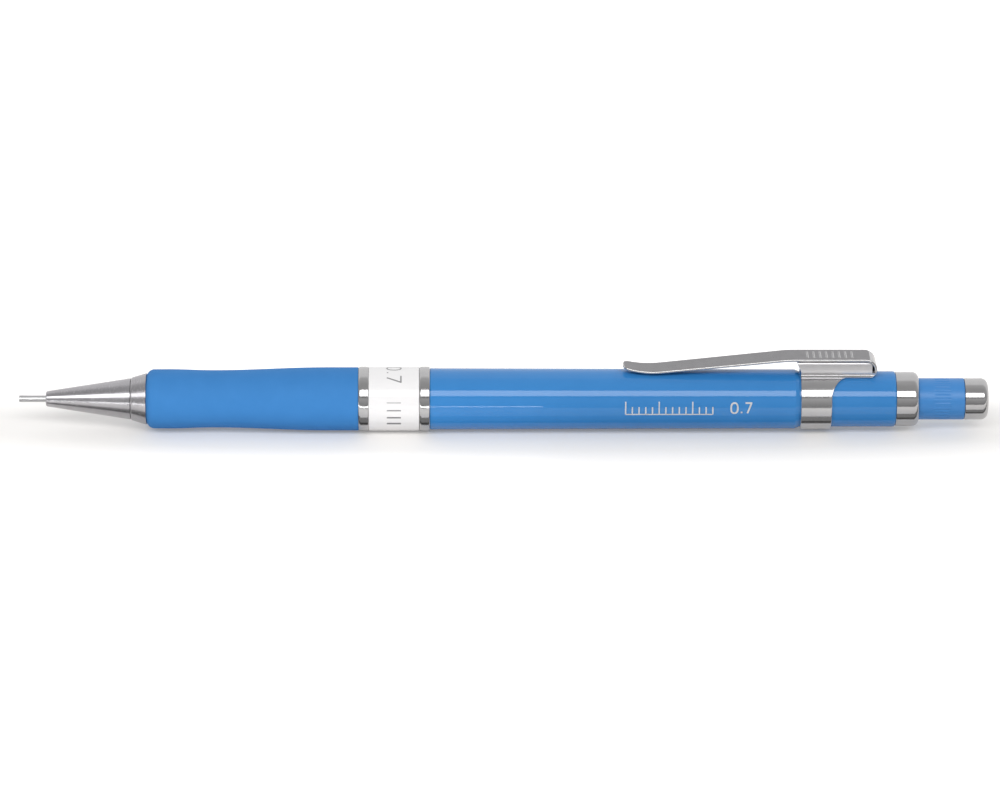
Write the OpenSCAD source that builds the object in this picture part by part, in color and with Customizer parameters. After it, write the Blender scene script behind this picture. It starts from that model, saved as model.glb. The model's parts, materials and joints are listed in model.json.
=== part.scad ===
// Mechanical pencil for 0.7 mm lead, lying along X with its tip at -X and its clip up.
// Stations named *_x are measured from the open end of the lead sleeve, along the pencil.

/* [Outside lengths] */
// Lead sleeve that stands out of the cone
sleeve_show = 4; // [3:0.1:5]
// Metal cone at the tip
cone_length = 12.7; // [12:0.1:14]
// Flared metal ferrule between the cone and the grip
ferrule_length = 2.4; // [2:0.1:3]
// Rubber grip
grip_length = 31.6; // [28:0.1:36]
// Each of the two bright trim rings
ring_width = 1.6; // [1.2:0.1:2.2]
// White band between the trim rings
band_width = 7.5; // [6:0.1:9]
// Wide part of the barrel
body_length = 55.2; // [50:0.1:60]
// Slimmer part of the barrel that carries the clip
rear_length = 14.5; // [14:0.1:18]
// Metal ferrule that closes the barrel
end_ferrule_length = 3.5; // [2.5:0.1:4]
// Push knob that shows between the ferrule and the cap
knob_show = 6.8; // [6.5:0.1:9]
// Bright cap over the eraser
cap_length = 3.6; // [3.4:0.1:5]

/* [Outside radii] */
// Lead sleeve, outside
sleeve_r = 0.51; // [0.48:0.01:0.53]
// Nose of the cone
nose_r = 1.15; // [1.1:0.01:1.3]
// Back of the cone
cone_back_r = 3.1; // [3.05:0.01:3.15]
// Front and back of the flared ferrule
ferrule_front_r = 3.22; // [3.15:0.01:3.3]
ferrule_back_r = 3.86; // [3.8:0.01:3.95]
// Grip just behind its rounded front edge
grip_front_r = 4.43; // [4.35:0.01:4.5]
// Grip at its waist
grip_waist_r = 4.29; // [4.2:0.01:4.35]
// Grip at its back
grip_back_r = 4.73; // [4.6:0.01:4.78]
// Trim rings
ring_r = 4.85; // [4.8:0.01:5]
// White band
band_r = 4.79; // [4.7:0.01:4.8]
// Barrel behind the trim rings
body_front_r = 4.6; // [4.5:0.01:4.65]
// Barrel in front of its step
body_back_r = 4.45; // [4.38:0.01:4.5]
// Barrel under the clip
rear_r = 4.17; // [4.15:0.01:4.2]
// End ferrule
end_ferrule_r = 4.05; // [4:0.01:4.1]
// Push knob and cap
knob_r = 3.1; // [3.05:0.01:3.12]

/* [Mechanism] */
// Travel of the push knob
stroke = 3.2; // [2.5:0.1:3.2]
// Radius of the lead
lead_r = 0.35; // [0.25:0.01:0.35]
// Length of a lead
lead_length = 60; // [50:1:60]
// Turns of the return spring
spring_turns = 8; // [6:1:9]
// Spare leads in the tank
spare_leads_count = 3; // [1:1:3]
// Sawn flutes on the push knob
knob_flutes = 28; // [20:1:32]

/* [Clip] */
// Thickness of the clip's sheet steel
sheet = 0.42; // [0.4:0.01:0.45]
// Width of the clip arm at its back
arm_width = 4.2; // [4:0.1:4.4]
// Width of the clip arm where it meets the barrel
arm_tip_width = 3.8; // [3.4:0.1:4]
// Length of the clip arm
arm_length = 38; // [36:0.1:40]
// Height of the arm's top face over the pencil's axis
arm_top = 7.16; // [7:0.01:7.3]
// Width of the band round the barrel
clip_band_width = 4.6; // [4:0.1:5]
// Outside width across the two side walls
wall_span = 3.5; // [3.4:0.1:3.6]

/* [Hidden] */

smooth = 96;      // facets of a turned shape in the preview
fine = 32;        // facets of a small round shape
running = 0.02;   // radial gap between pieces that move on each other
slack = 0.05;     // wider gap, where nothing guides
eps = 0.01;       // overlap that lets one cut pass another

// Stations along the outside
cone_x = sleeve_show;
ferrule_x = cone_x + cone_length;
grip_x = ferrule_x + ferrule_length;
front_ring_x = grip_x + grip_length;
band_x = front_ring_x + ring_width;
rear_ring_x = band_x + band_width;
body_x = rear_ring_x + ring_width;
step_x = body_x + body_length;
end_ferrule_x = step_x + rear_length;
knob_x = end_ferrule_x + end_ferrule_length;
cap_x = knob_x + knob_show;
end_x = cap_x + cap_length;

// Bore of the lead sleeve, and its seat in the cone
sleeve_bore_r = lead_r + 0.025;
sleeve_root_r = sleeve_r + 0.18;
sleeve_end_x = cone_x + 4.2;

// Rubber lead retainer, in a pocket behind the sleeve
retainer_r = 1.2;
retainer_length = 1.9;
retainer_end_x = sleeve_end_x + retainer_length;

// Cavity of the cone, and the threaded spigot behind it
cavity_front_r = 1.3;
cavity_mid_r = 1.85;
cavity_mid_x = retainer_end_x + 1.3;
spigot_bore_r = 2.35;
spigot_bore_x = cone_x + 10.6;
spigot_r = 2.9;
spigot_end_x = ferrule_x + 5.8;
thread_pitch = 0.5;
thread_depth = 0.16;
thread_turns = 9;
parting_gap = 0.1;

// Sockets in the front of the barrel
core_r = 3.7;                        // barrel core under the grip, rings and band
ferrule_tube_r = 3.3;
ferrule_tube_end_x = ferrule_x + 6.3;
seat_flange_r = 2.9;
seat_flange_end_x = ferrule_tube_end_x + 1.8;
tank_bore_r = 2.3;

// Chuck: three jaws on a collar, closed by a ring that rests in the ring seat
jaw_front_x = cone_x + 11.2;
jaw_land_end_x = jaw_front_x + 1;
jaw_taper_end_x = jaw_front_x + 3.4;
jaw_root_x = cone_x + 23;
jaw_head_r = 1.45;
jaw_taper_r = 1.1;
jaw_stem_r = 1;
jaw_grip_r = lead_r + 0.015;
jaw_relief_r = 0.55;
jaw_slit = 0.2;
jaw_angles = [90, 210, 330];
collar_tail_r = 1.3;
collar_step_x = jaw_root_x + 5;
collar_end_x = jaw_root_x + 13;
collar_bore_r = 0.45;
ring_front_x = jaw_land_end_x + 0.2;
ring_back_x = jaw_taper_end_x - 0.2;
ring_outer_r = 2;
taper_slope = (jaw_head_r - jaw_taper_r) / (jaw_taper_end_x - jaw_land_end_x);

// Ring seat
seat_r = spigot_bore_r - slack;
seat_front_x = jaw_front_x - 0.2;
seat_shoulder_x = ring_back_x + slack;
seat_hole_r = 1.25;
spring_front_x = seat_shoulder_x + 1.5;
spring_bore_r = 1.95;

// Lead tank and return spring
tank_r = 2.2;
tank_wall = 0.6;
tank_x = spring_front_x + 15;
tank_socket_end_x = collar_end_x + 0.5;
tank_end_x = knob_x + 2.6;
spring_r = 1.6;                      // to the middle of the wire
wire_r = 0.2;
spring_gap = 0.05;
ring_steps = 14;                     // wire sections in one turn
wire_sides = 6;

// Leads
lead_recess = 0.3;
spare_orbit_r = 1.2;
spare_spread = 55;                   // angle between two spare leads
spare_gap = 3;

// Push knob, eraser and cap
knob_front_x = knob_x - 2.5;
knob_hole_r = 1.6;
pocket_x = tank_end_x + 1.3;
pocket_r = 2.2;
neck_r = 2.8;
neck_length = 1.5;
knob_edge = 0.15;
flute_x = knob_x + 2.3;
flute_length = 2.5;
flute_width = 0.22;
flute_depth = 0.12;
eraser_r = pocket_r - slack;
eraser_bevel = 0.3;
cap_round = 1;
cap_top = 0.5;
cap_step = 0.35;                     // how much the cap narrows over the eraser

// Barrel ends
step_bevel_length = 0.6;
step_bevel = 0.22;
rear_edge = 0.3;
end_socket_r = 3.5;
end_socket_length = stroke + 1.6;
end_round = 0.9;
knob_guide_r = knob_r + 0.06;

// Trim rings and grip
ring_bevel = 0.35;
ring_bevel_drop = 0.13;
ring_edge = 0.1;
grip_round = 1.1;
grip_crest_x = grip_x + 3.4;
grip_waist_x = grip_x + 10;
grip_full_x = grip_x + 27;
curve_steps = 10;                    // straight bands in one curve of the grip

// Clip bracket
band_inner_r = rear_r + running;
band_outer_r = band_inner_r + sheet;
clip_band_x = step_x + 0.2;
clip_band_end_x = clip_band_x + clip_band_width;
wall_outer = wall_span / 2;
wall_inner = wall_outer - sheet;
wall_top = arm_top - sheet - 0.04;
wall_bottom = 4.05;
wall_front_x = clip_band_x - 0.7;
wall_back_x = clip_band_end_x + 6.1;
wall_corner = 0.9;
wall_slant_z = 5;
bend_r = 0.5;                        // where a wall turns into the band
web_r = 2.4;                         // where the band widens into a wall
band_gap = 2.2;                      // opening under the barrel
band_corner = 1.3;
tongue_x = wall_back_x + 0.65;       // lower end of a wall, behind the arm's slot
tongue_top = 4.85;

// Clip arm
arm_x = wall_back_x + 0.7 - arm_length;
arm_back_x = arm_x + arm_length;
back_bend_r = 1.8;
foot_bend_r = 0.9;
foot_bottom = 4.4;
foot_length = 3.2;
foot_width = 2 * (wall_inner - slack);
foot_neck_z = tongue_top + 0.15;     // the arm is narrow below this height
touch_x = arm_x + 4.3;
touch_z = body_front_r + 0.1;
lip_r = 14.5;                        // curve of the lifted tip, inside
knee_x = wall_front_x - 1.2;
knee_r = 16;
tip_corner = 1.2;
hatch_count = 8;
hatch_x = clip_band_x + 1;
hatch_pitch = 0.95;
hatch_width = 0.3;
hatch_depth = 0.08;
hatch_length = 2.6;

// ---- Shape helpers ----

// Points of an arc about [x, r]
function arc(x, r, radius, from, to, steps = 8) =
    [for (i = [0:steps]) let (a = from + (to - from) * i / steps)
        [x + radius * cos(a), r + radius * sin(a)]];

// Radius that eases from one value to the other between two stations
function eased(x, x0, r0, x1, r1) = r0 + (r1 - r0) * (1 - cos(180 * (x - x0) / (x1 - x0))) / 2;

// Points of an eased curve, without its first one
function ease_points(x0, r0, x1, r1) =
    [for (i = [1:curve_steps]) let (x = x0 + (x1 - x0) * i / curve_steps)
        [x, eased(x, x0, r0, x1, r1)]];

// Moves a piece from stations along the pencil to the part's frame
module place() {
    translate([-end_x / 2, 0, ring_r]) children();
}

// Turns a profile of [station, radius] points round the pencil's axis
module lathe(profile) {
    rotate([0, 90, 0])
        rotate_extrude($fn = smooth)
            polygon([for (p = profile) [p[1], p[0]]]);
}

// Plain tube between two stations
module tube(x0, x1, inner_r, outer_r) {
    lathe([[x0, inner_r], [x0, outer_r], [x1, outer_r], [x1, inner_r]]);
}

// Extrudes a side outline of [station, height] points across the pencil
module across(width) {
    translate([0, width / 2, 0])
        rotate([90, 0, 0])
            linear_extrude(width) children();
}

// ---- Tip ----

module lead_sleeve() {
    color("silver") place() lathe([
        [0, sleeve_bore_r], [0, sleeve_r], [cone_x, sleeve_r],
        [cone_x, sleeve_root_r], [sleeve_end_x, sleeve_root_r],
        [sleeve_end_x, sleeve_bore_r]
    ]);
}

function thread_points(x) = [
    for (i = [0:thread_turns - 1]) each [
        [x + i * thread_pitch, spigot_r - thread_depth],
        [x + (i + 0.4) * thread_pitch, spigot_r],
        [x + (i + 0.6) * thread_pitch, spigot_r]
    ]
];

module tip_cone() {
    nose_bevel = 0.15;
    back_x = ferrule_x - parting_gap / 2;
    thread_x = ferrule_x + 0.7;
    color("silver") place() lathe(concat(
        [[cone_x, sleeve_root_r], [cone_x, nose_r - nose_bevel], [cone_x + nose_bevel, nose_r],
         [back_x, cone_back_r], [back_x, spigot_r - thread_depth]],
        thread_points(thread_x),
        [[thread_x + thread_turns * thread_pitch, spigot_r - thread_depth],
         [spigot_end_x, spigot_r - thread_depth], [spigot_end_x, spigot_bore_r],
         [spigot_bore_x, spigot_bore_r], [cavity_mid_x, cavity_mid_r],
         [retainer_end_x, cavity_front_r], [retainer_end_x, retainer_r],
         [sleeve_end_x, retainer_r], [sleeve_end_x, sleeve_root_r]]
    ));
}

module lead_retainer() {
    hole_r = lead_r + running;
    mouth = 0.4;
    color("dimgray") place() lathe([
        [sleeve_end_x, hole_r], [sleeve_end_x, retainer_r],
        [retainer_end_x, retainer_r], [retainer_end_x, hole_r + mouth],
        [retainer_end_x - mouth, hole_r]
    ]);
}

module front_ferrule() {
    edge = 0.1;
    front_x = ferrule_x + parting_gap / 2;
    bore_r = spigot_r + slack;
    color("silver") place() lathe([
        [front_x, bore_r], [front_x, ferrule_front_r - edge], [front_x + edge, ferrule_front_r],
        [grip_x - edge, ferrule_back_r], [grip_x, ferrule_back_r - edge],
        [grip_x, ferrule_tube_r], [ferrule_tube_end_x, ferrule_tube_r],
        [ferrule_tube_end_x, bore_r]
    ]);
}

// ---- Grip, rings and band ----

module rubber_grip() {
    color("dodgerblue") place() lathe(concat(
        [[grip_x, core_r]],
        arc(grip_x + grip_round, grip_front_r - grip_round, grip_round, 150, 90, 6),
        ease_points(grip_x + grip_round, grip_front_r, grip_crest_x, grip_front_r + 0.01),
        ease_points(grip_crest_x, grip_front_r + 0.01, grip_waist_x, grip_waist_r),
        ease_points(grip_waist_x, grip_waist_r, grip_full_x, grip_back_r),
        [[front_ring_x - slack, grip_back_r], [front_ring_x, grip_back_r - slack],
         [front_ring_x, core_r]]
    ));
}

module trim_ring(x) {
    color("gainsboro") place() lathe([
        [x, core_r], [x, ring_r - ring_bevel_drop], [x + ring_bevel, ring_r],
        [x + ring_width - ring_edge, ring_r], [x + ring_width, ring_r - ring_edge],
        [x + ring_width, core_r]
    ]);
}

module front_trim_ring() { trim_ring(front_ring_x); }

module rear_trim_ring() { trim_ring(rear_ring_x); }

module size_band() {
    color("white") place() tube(band_x, rear_ring_x, core_r, band_r);
}

// ---- Barrel ----

module barrel() {
    bevel_x = step_x - step_bevel_length;
    edge = 0.1;
    color("dodgerblue") place() lathe(concat(
        [[grip_x, ferrule_tube_r], [grip_x, core_r], [body_x, core_r],
         [body_x, body_front_r - edge], [body_x + edge, body_front_r],
         [bevel_x, body_back_r], [step_x, body_back_r - step_bevel], [step_x, rear_r]],
        arc(end_ferrule_x - rear_edge, rear_r - rear_edge, rear_edge, 90, 0, 4),
        [[end_ferrule_x, end_socket_r],
         [end_ferrule_x - end_socket_length, end_socket_r],
         [end_ferrule_x - end_socket_length, tank_bore_r],
         [seat_flange_end_x, tank_bore_r], [seat_flange_end_x, seat_flange_r],
         [ferrule_tube_end_x, seat_flange_r], [ferrule_tube_end_x, ferrule_tube_r]]
    ));
}

module end_ferrule() {
    tail_x = end_ferrule_x - end_socket_length;
    color("gainsboro") place() lathe(concat(
        [[tail_x, knob_guide_r], [tail_x, end_socket_r], [end_ferrule_x, end_socket_r],
         [end_ferrule_x, end_ferrule_r]],
        arc(knob_x - end_round, end_ferrule_r - end_round, end_round, 90, 0, 8),
        [[knob_x, knob_guide_r]]
    ));
}

// ---- Clip ----

// One side of the bracket's section: roof, wall, bend and half of the band
module bracket_half_section() {
    bend_y = wall_outer + bend_r;
    bend_z = sqrt(pow(band_outer_r + bend_r, 2) - pow(bend_y, 2));
    touch = band_outer_r / (band_outer_r + bend_r);
    difference() {
        union() {
            intersection() {
                circle(r = band_outer_r, $fn = smooth);
                translate([wall_inner, -2 * rear_r]) square([2 * rear_r, 4 * rear_r]);
            }
            intersection() {
                circle(r = band_outer_r, $fn = smooth);
                translate([band_gap / 2, -2 * rear_r]) square([2 * rear_r, 2 * rear_r]);
            }
            translate([wall_inner, rear_r - 1]) square([sheet, wall_top - rear_r + 1]);
            translate([0, wall_top - sheet]) square([wall_inner + eps, sheet]);
            difference() {
                polygon([[wall_inner, 0], [bend_y * touch, bend_z * touch],
                         [bend_y, bend_z], [wall_outer, bend_z]]);
                translate([bend_y, bend_z]) circle(r = bend_r, $fn = fine);
            }
        }
        circle(r = band_inner_r, $fn = smooth);
    }
}

// What is left of the bracket behind its band, seen from the side
module wall_outline() {
    corner_x = clip_band_end_x + web_r;
    corner_z = wall_bottom - web_r;
    back_x = arm_back_x - back_bend_r;
    back_z = arm_top - back_bend_r;
    // web under the wall
    difference() {
        translate([clip_band_end_x - 1, corner_z]) square([web_r + 1, web_r + eps]);
        translate([corner_x, corner_z]) circle(r = web_r, $fn = smooth);
    }
    // wall up to the arm's back bend, and round inside that bend
    translate([clip_band_end_x - 1, wall_bottom])
        square([back_x - clip_band_end_x + 1, wall_top - wall_bottom]);
    intersection() {
        translate([back_x - eps, wall_bottom])
            square([wall_back_x - back_x + eps, wall_top - wall_bottom]);
        union() {
            translate([back_x, back_z]) circle(r = wall_top - back_z, $fn = smooth);
            translate([back_x - eps, wall_bottom])
                square([wall_back_x - back_x + eps, back_z - wall_bottom]);
        }
    }
    // tongue below the arm's slot
    intersection() {
        translate([back_x, wall_bottom]) square([tongue_x - back_x, tongue_top - wall_bottom]);
        union() {
            translate([tongue_x - wall_corner, wall_bottom + wall_corner])
                circle(r = wall_corner, $fn = fine);
            translate([back_x, wall_bottom])
                square([tongue_x - wall_corner - back_x, wall_corner]);
        }
    }
}

// What the stamping leaves away, seen from the side
module bracket_waste() {
    below = -2 * rear_r;
    difference() {
        translate([clip_band_end_x, below])
            square([tongue_x - clip_band_end_x + 1, wall_top + 1 - below]);
        wall_outline();
    }
    polygon([[wall_front_x - 1, below], [clip_band_x, below],
             [clip_band_x, wall_slant_z], [wall_front_x, wall_top], [wall_front_x - 1, wall_top]]);
}

// Corner cut from the ends of the band, seen from below
module band_end_corner() {
    difference() {
        translate([-1, -1]) square([band_corner + 1, band_corner + 1]);
        translate([band_corner, band_corner]) circle(r = band_corner, $fn = fine);
    }
}

module clip_bracket() {
    length = tongue_x - wall_front_x;
    color("gainsboro") place() difference() {
        translate([wall_front_x, 0, 0])
            rotate([90, 0, 90])
                linear_extrude(length) {
                    bracket_half_section();
                    mirror([1, 0]) bracket_half_section();
                }
        across(4 * rear_r) bracket_waste();
        for (side = [-1, 1])
            for (end = [0, 1])
                translate([clip_band_x + end * clip_band_width, side * band_gap / 2, -2 * rear_r])
                    mirror([end, 0, 0])
                        mirror([0, side < 0 ? 1 : 0, 0])
                            linear_extrude(1.2 * rear_r) band_end_corner();
    }
}

// Side outline of the arm, as a line of [station, height] points along its inner face,
// pushed out by offset_out along its outward normal
function arm_line(offset_out) =
    let (
        rise = wall_top + 0.04 - touch_z,
        slope = atan2(rise, knee_x - touch_x),
        lip = lip_r - offset_out,
        lip_angle = asin((touch_x - arm_x) / lip_r),
        knee = knee_r + offset_out,
        // the lifted tip curves up about a centre above the line of contact
        lip_x = touch_x,
        lip_z = touch_z + lip_r,
        // the knee curves down about a centre below the arm
        knee_cx = knee_x + knee_r * tan(slope / 2),
        knee_cz = wall_top + 0.04 - knee_r
    )
    concat(
        arc(lip_x, lip_z, lip, 270 - lip_angle, 270 + slope, 9),
        arc(knee_cx, knee_cz, knee, 90 + slope, 90, 5)
    );

// Back bend, back wall and foot, on the same inner face
function arm_back_line(offset_out) =
    let (
        bend = back_bend_r - sheet + offset_out,
        foot = foot_bend_r - sheet + offset_out
    )
    concat(
        arc(arm_back_x - back_bend_r, arm_top - back_bend_r, bend, 90, 0, 8),
        arc(arm_back_x - foot_bend_r, foot_bottom + foot_bend_r, foot, 0, -90, 6),
        [[arm_back_x - foot_length, foot_bottom + sheet - offset_out]]
    );

function backwards(points) = [for (i = [len(points) - 1:-1:0]) points[i]];

// Outline of the arm from above
module arm_plan() {
    tip_half = arm_tip_width / 2;
    polygon(concat(
        arc(arm_x + tip_corner, tip_half - 0.25 - tip_corner, tip_corner, 180, 90, 6),
        [[touch_x, tip_half], [knee_x, arm_width / 2], [arm_back_x + 1, arm_width / 2],
         [arm_back_x + 1, -arm_width / 2], [knee_x, -arm_width / 2], [touch_x, -tip_half]],
        arc(arm_x + tip_corner, tip_corner + 0.25 - tip_half, tip_corner, 270, 180, 6)
    ));
}

module clip_arm() {
    color("silver") place() difference() {
        intersection() {
            across(arm_width + 1)
                polygon(concat(arm_line(0), arm_back_line(0),
                               backwards(arm_back_line(sheet)), backwards(arm_line(sheet))));
            linear_extrude(2 * arm_top) arm_plan();
        }
        // the foot is narrower, because it lies between the bracket's walls
        for (side = [-1, 1])
            translate([arm_back_x - foot_length - 1, side > 0 ? foot_width / 2 : -arm_width, 0])
                cube([foot_length + 2, arm_width - foot_width / 2, foot_neck_z]);
        for (i = [0:hatch_count - 1])
            translate([hatch_x + i * hatch_pitch, -hatch_length / 2, arm_top - hatch_depth])
                cube([hatch_width, hatch_length, 1]);
    }
}

// ---- Push knob, eraser and cap ----

module push_knob() {
    color("dodgerblue") place() difference() {
        lathe([
            [knob_front_x, tank_r], [knob_front_x, knob_r - knob_edge],
            [knob_front_x + knob_edge, knob_r], [cap_x - knob_edge, knob_r],
            [cap_x, knob_r - knob_edge], [cap_x, neck_r],
            [cap_x + neck_length, neck_r], [cap_x + neck_length, pocket_r],
            [pocket_x, pocket_r], [pocket_x, knob_hole_r],
            [tank_end_x, knob_hole_r], [tank_end_x, tank_r]
        ]);
        for (i = [0:knob_flutes - 1])
            rotate([i * 360 / knob_flutes, 0, 0])
                translate([flute_x, -flute_width / 2, knob_r - flute_depth])
                    cube([flute_length, flute_width, 1]);
    }
}

module eraser() {
    front_x = pocket_x + slack;
    back_x = end_x - cap_top - 0.15;
    color("white") place() lathe([
        [front_x, 0], [front_x, eraser_r], [back_x - eraser_bevel, eraser_r],
        [back_x, eraser_r - eraser_bevel], [back_x, 0]
    ]);
}

module eraser_cap() {
    front_x = cap_x + slack;
    skirt_r = neck_r + running;
    skirt_end_x = cap_x + neck_length + 0.1;
    color("gainsboro") place() lathe(concat(
        [[front_x, skirt_r], [front_x, knob_r]],
        arc(end_x - cap_round, knob_r - cap_round, cap_round, 90, 0, 8),
        [[end_x, 0], [end_x - cap_top, 0], [end_x - cap_top, skirt_r - cap_step],
         [skirt_end_x, skirt_r - cap_step], [skirt_end_x, skirt_r]]
    ));
}

// ---- Lead tank, spring and leads ----

module lead_tank() {
    inner_r = tank_r - tank_wall;
    color("ghostwhite") place() lathe([
        [tank_x, collar_tail_r], [tank_x, tank_r], [tank_end_x, tank_r],
        [tank_end_x, inner_r], [tank_socket_end_x + 1, inner_r],
        [tank_socket_end_x, collar_tail_r]
    ]);
}

// Centre of the wire at turn t, wound closely at both ends
function spring_point(t) =
    let (
        x0 = spring_front_x + spring_gap + wire_r,
        x1 = tank_x - spring_gap - wire_r,
        s = t / spring_turns,
        x = x0 + (x1 - x0) * (s - 0.075 * sin(360 * s))
    )
    [x, spring_r * cos(360 * t), spring_r * sin(360 * t)];

module return_spring() {
    rings = spring_turns * ring_steps;
    points = [
        for (i = [0:rings]) let (t = i / ring_steps, c = spring_point(t))
            for (k = [0:wire_sides - 1]) let (a = 360 * k / wire_sides, out = wire_r * cos(a))
                [c[0] + wire_r * sin(a), c[1] + out * cos(360 * t), c[2] + out * sin(360 * t)]
    ];
    sides = [
        for (i = [0:rings - 1]) for (k = [0:wire_sides - 1])
            let (a = i * wire_sides, b = a + wire_sides, n = (k + 1) % wire_sides)
                [a + k, a + n, b + n, b + k]
    ];
    front = [for (k = [wire_sides - 1:-1:0]) k];
    back = [for (k = [0:wire_sides - 1]) rings * wire_sides + k];
    color("silver") place()
        polyhedron(points = points, faces = concat(sides, [front, back]));
}

module lead() {
    color("#303036") place() tube(lead_recess, lead_recess + lead_length, 0, lead_r);
}

module spare_leads() {
    x0 = lead_recess + lead_length + spare_gap;
    color("#303036") place()
        for (i = [0:spare_leads_count - 1])
            let (a = 180 + (i - (spare_leads_count - 1) / 2) * spare_spread)
                translate([x0, spare_orbit_r * sin(a), spare_orbit_r * cos(a)])
                    rotate([0, 90, 0])
                        cylinder(r = lead_r, h = lead_length, $fn = fine);
}

// ---- Chuck ----

module chuck_collar() {
    funnel = 1.2;
    color("goldenrod") place() lathe([
        [jaw_root_x, collar_bore_r], [jaw_root_x, jaw_stem_r], [collar_step_x, jaw_stem_r],
        [collar_step_x + 0.3, collar_tail_r], [collar_end_x, collar_tail_r],
        [collar_end_x, collar_tail_r - 0.2], [collar_end_x - funnel, collar_bore_r]
    ]);
}

// One of the three jaws, centred on an angle from +Y towards +Z
module chuck_jaw(angle) {
    back_x = jaw_root_x - slack;
    relief_x = jaw_taper_end_x - 0.6;
    nose = 0.3;
    color("goldenrod") place() difference() {
        lathe([
            [jaw_front_x, jaw_grip_r], [jaw_front_x, jaw_head_r - nose],
            [jaw_front_x + nose, jaw_head_r], [jaw_land_end_x, jaw_head_r],
            [jaw_taper_end_x, jaw_taper_r], [jaw_taper_end_x + 0.4, jaw_stem_r],
            [back_x, jaw_stem_r], [back_x, jaw_relief_r],
            [relief_x + 0.3, jaw_relief_r], [relief_x, jaw_grip_r]
        ]);
        // keep 120 degrees less the saw cuts on both sides
        for (side = [-1, 1])
            rotate([angle + side * 60, 0, 0])
                translate([0, 0, side > 0 ? -jaw_slit / 2 : jaw_slit / 2])
                    mirror([0, 0, side > 0 ? 0 : 1])
                        translate([jaw_front_x - 1, -2 * jaw_head_r, 0])
                            cube([jaw_root_x - jaw_front_x + 2, 4 * jaw_head_r, 2 * jaw_head_r]);
    }
}

module chuck_ring() {
    function bore_at(x) = jaw_head_r - (x - jaw_land_end_x) * taper_slope + running;
    edge = 0.15;
    color("gold") place() lathe([
        [ring_front_x, bore_at(ring_front_x)], [ring_front_x, ring_outer_r - edge],
        [ring_front_x + edge, ring_outer_r], [ring_back_x - edge, ring_outer_r],
        [ring_back_x, ring_outer_r - edge], [ring_back_x, bore_at(ring_back_x)]
    ]);
}

module ring_seat() {
    pocket_r = ring_outer_r + slack;
    color("darkgoldenrod") place() lathe([
        [seat_front_x, pocket_r], [seat_front_x, seat_r], [ferrule_tube_end_x, seat_r],
        [ferrule_tube_end_x, seat_flange_r], [seat_flange_end_x, seat_flange_r],
        [seat_flange_end_x, spring_bore_r], [spring_front_x, spring_bore_r],
        [spring_front_x, seat_hole_r], [seat_shoulder_x, seat_hole_r],
        [seat_shoulder_x, pocket_r]
    ]);
}

// ---- The assembly ----

lead_sleeve();
tip_cone();
lead_retainer();
front_ferrule();
rubber_grip();
front_trim_ring();
size_band();
rear_trim_ring();
barrel();
end_ferrule();
clip_bracket();
clip_arm();
push_knob();
eraser();
eraser_cap();
lead_tank();
return_spring();
chuck_collar();
chuck_jaw(jaw_angles[0]);  // chuck_jaw_1
chuck_jaw(jaw_angles[1]);  // chuck_jaw_2
chuck_jaw(jaw_angles[2]);  // chuck_jaw_3
chuck_ring();
ring_seat();
lead();
spare_leads();
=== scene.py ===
"""Looks of a mechanical pencil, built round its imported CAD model. Lengths are in metres."""

import json
import math

import bmesh
import bpy
from mathutils import Matrix, Vector


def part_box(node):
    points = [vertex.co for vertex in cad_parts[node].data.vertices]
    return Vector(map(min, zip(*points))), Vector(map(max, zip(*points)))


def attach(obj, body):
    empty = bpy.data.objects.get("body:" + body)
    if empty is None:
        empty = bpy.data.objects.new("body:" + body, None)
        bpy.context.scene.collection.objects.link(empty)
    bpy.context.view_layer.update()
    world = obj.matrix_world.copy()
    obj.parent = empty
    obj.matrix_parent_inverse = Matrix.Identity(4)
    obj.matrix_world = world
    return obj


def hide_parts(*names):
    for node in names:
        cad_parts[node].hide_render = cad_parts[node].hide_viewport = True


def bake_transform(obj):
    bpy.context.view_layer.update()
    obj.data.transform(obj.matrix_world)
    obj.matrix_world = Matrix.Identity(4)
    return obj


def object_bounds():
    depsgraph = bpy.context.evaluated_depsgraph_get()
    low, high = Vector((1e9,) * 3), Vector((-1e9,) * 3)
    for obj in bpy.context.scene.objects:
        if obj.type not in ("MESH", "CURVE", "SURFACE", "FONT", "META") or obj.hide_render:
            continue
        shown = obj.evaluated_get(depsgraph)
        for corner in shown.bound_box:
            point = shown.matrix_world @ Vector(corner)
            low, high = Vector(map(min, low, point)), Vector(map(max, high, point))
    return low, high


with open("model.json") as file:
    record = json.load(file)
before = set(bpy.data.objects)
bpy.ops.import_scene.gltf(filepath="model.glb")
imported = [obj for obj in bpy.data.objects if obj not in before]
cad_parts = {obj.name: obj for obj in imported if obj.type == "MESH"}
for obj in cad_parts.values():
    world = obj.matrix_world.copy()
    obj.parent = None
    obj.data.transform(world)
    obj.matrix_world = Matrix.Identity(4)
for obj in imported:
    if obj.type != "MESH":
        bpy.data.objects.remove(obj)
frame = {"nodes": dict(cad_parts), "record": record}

MM = 0.001
cad_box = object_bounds()
record = frame["record"]
BODY_OF = {
    node: body for body, nodes in record["behaviour"]["bodies"].items() for node in nodes
}


# ---- Measures taken from the frame ----

BOX = {node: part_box(node) for node in frame["nodes"]}


def middle(node):
    low, high = BOX[node]
    return (low + high) / 2


def radius(node):
    low, high = BOX[node]
    return (high.y - low.y) / 2


ALONG, ACROSS = Vector((1, 0, 0)), Vector((0, 1, 0))
AXIS_Z = middle("barrel").z
TIP_X = BOX["lead_sleeve"][0].x

SHEET = 0.42 * MM            # sheet steel of the clip
SNAP = 3e-6                  # CAD points nearer than this are one point
FINE = 1e-7                  # rounding of CAD points before they are compared
SHARP = math.radians(15)     # an outline's corner that turns more than this is an edge
GUARD = 0.02 * MM            # distance of the support rings that keep flats flat
LARGE, SMALL = 192, 96       # sides of a large and of a small turned piece


# ---- Outlines of turned pieces ----

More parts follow.
